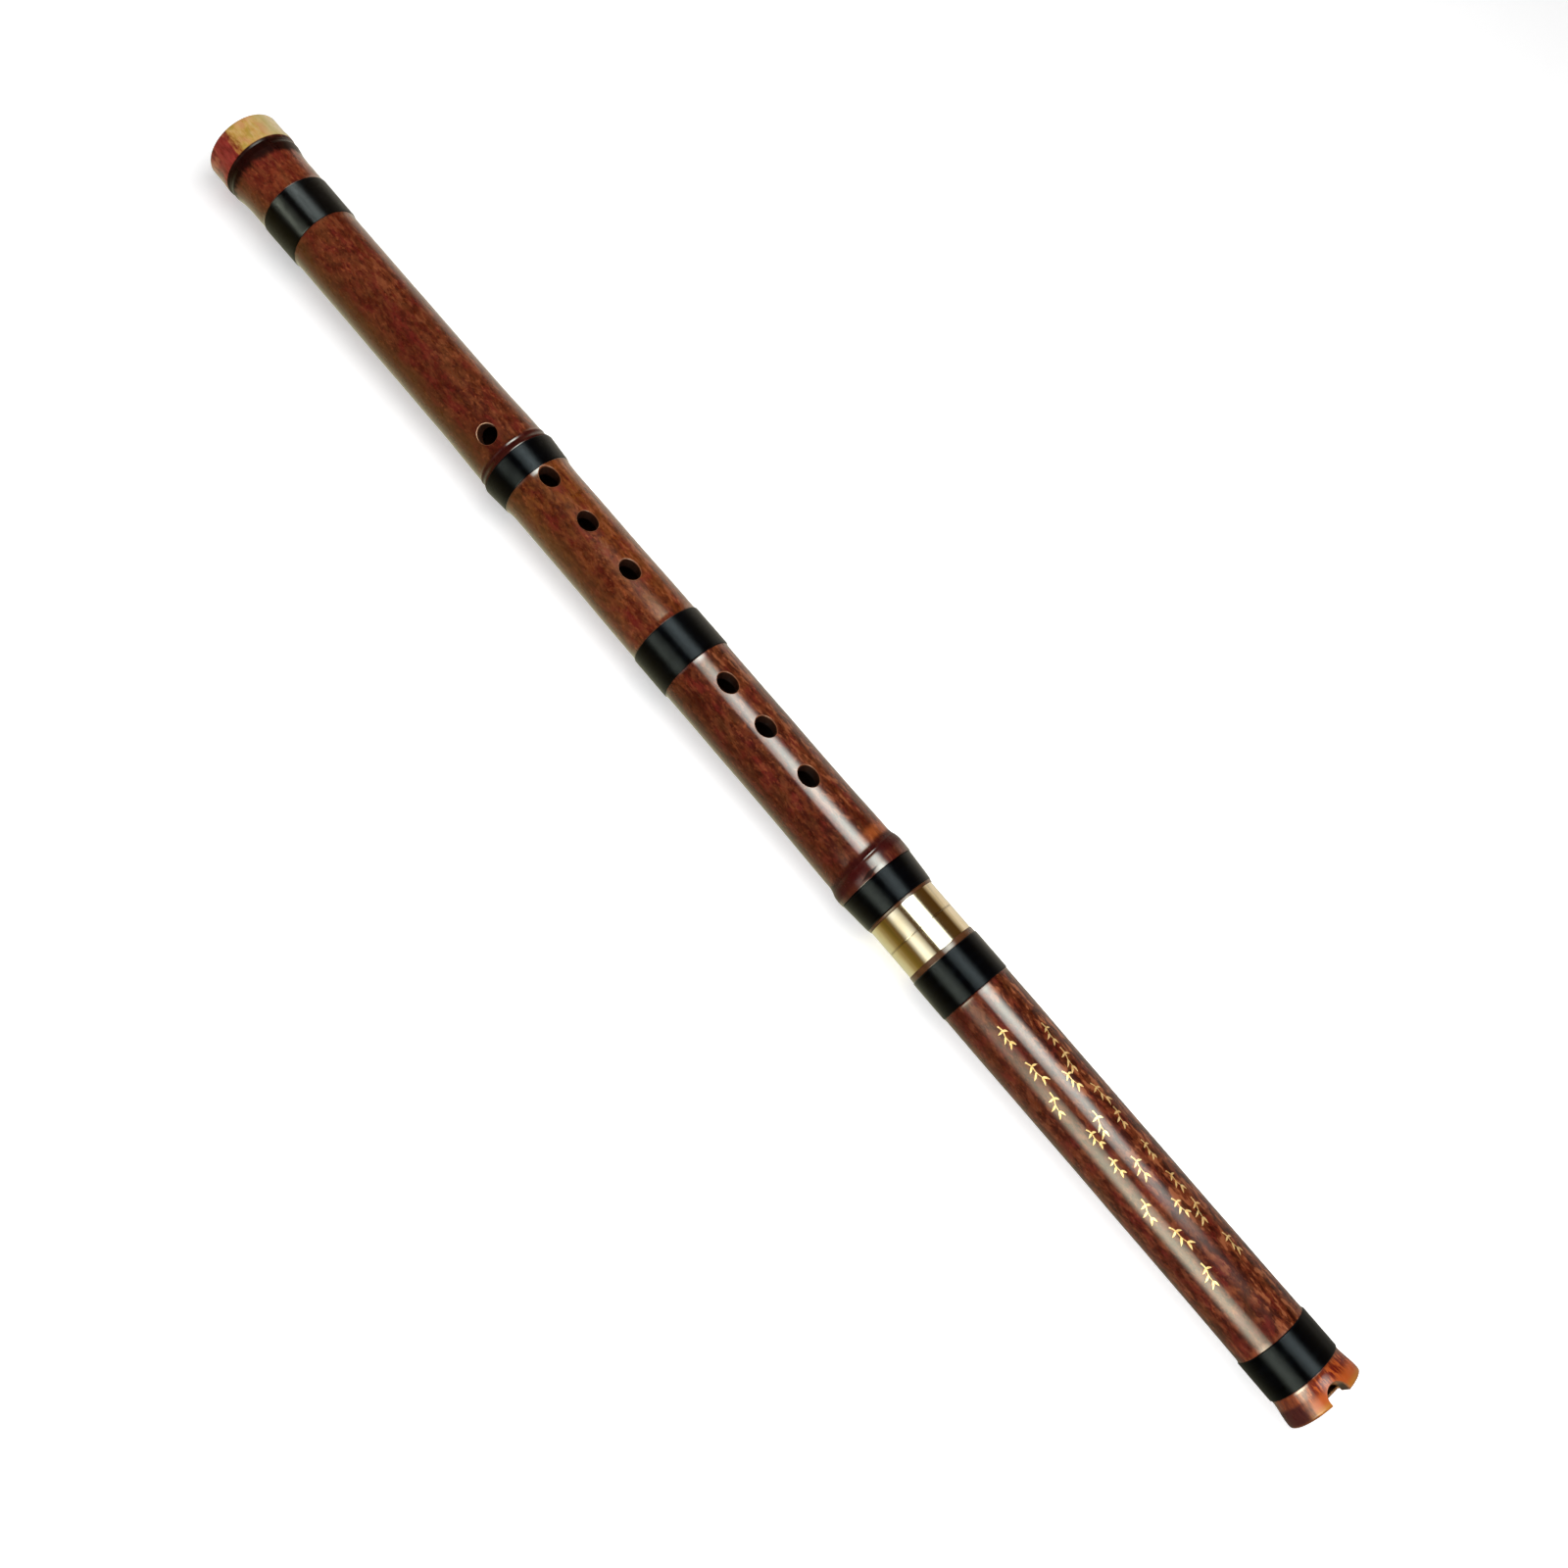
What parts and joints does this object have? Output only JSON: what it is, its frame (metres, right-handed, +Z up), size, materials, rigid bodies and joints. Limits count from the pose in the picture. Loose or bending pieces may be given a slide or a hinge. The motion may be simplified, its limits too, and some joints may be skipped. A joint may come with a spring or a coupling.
{
  "type": "two-piece end-blown bamboo flute",
  "caption": "End-blown bamboo flute with a notched blowing end, finger holes in line, black thread bindings and a brass joint that turns and pulls apart.",
  "frame": {"origin": "on the surface that the flute lies on, under the middle of its length and its axis", "axes": "+X along the flute towards the blowing end, +Z up, the way the finger holes face; the lowest hole is turned towards -Y"},
  "size_m": [0.65, 0.0338, 0.0339],
  "materials": {
    "lacquered_bamboo": "clear gloss lacquer over mottled red-brown bamboo",
    "black_thread": "fine black thread wound side by side under gloss lacquer",
    "polished_brass": "polished"
  },
  "bodies": {
    "foot_section": {"foot_tube": "lacquered_bamboo", "foot_end_binding": "black_thread", "lower_node_binding": "black_thread", "middle_binding": "black_thread", "upper_node_binding": "black_thread", "foot_collar": "polished_brass"},
    "joint_section": {"joint_tube": "polished_brass"},
    "head_section": {"head_tube": "lacquered_bamboo", "head_joint_binding": "black_thread", "mouth_binding": "black_thread", "head_collar": "polished_brass", "head_socket": "polished_brass"}
  },
  "joints": [
    {"name": "head_twist", "type": "hinge", "parent": "foot_section", "child": "joint_section", "pos_m": [0.1033, 0, 0.01694], "axis": [1, 0, 0], "continuous": true},
    {"name": "head_pull", "type": "slide", "parent": "joint_section", "child": "head_section", "axis": [1, 0, 0], "range_m": [0, 0.028]}
  ]
}
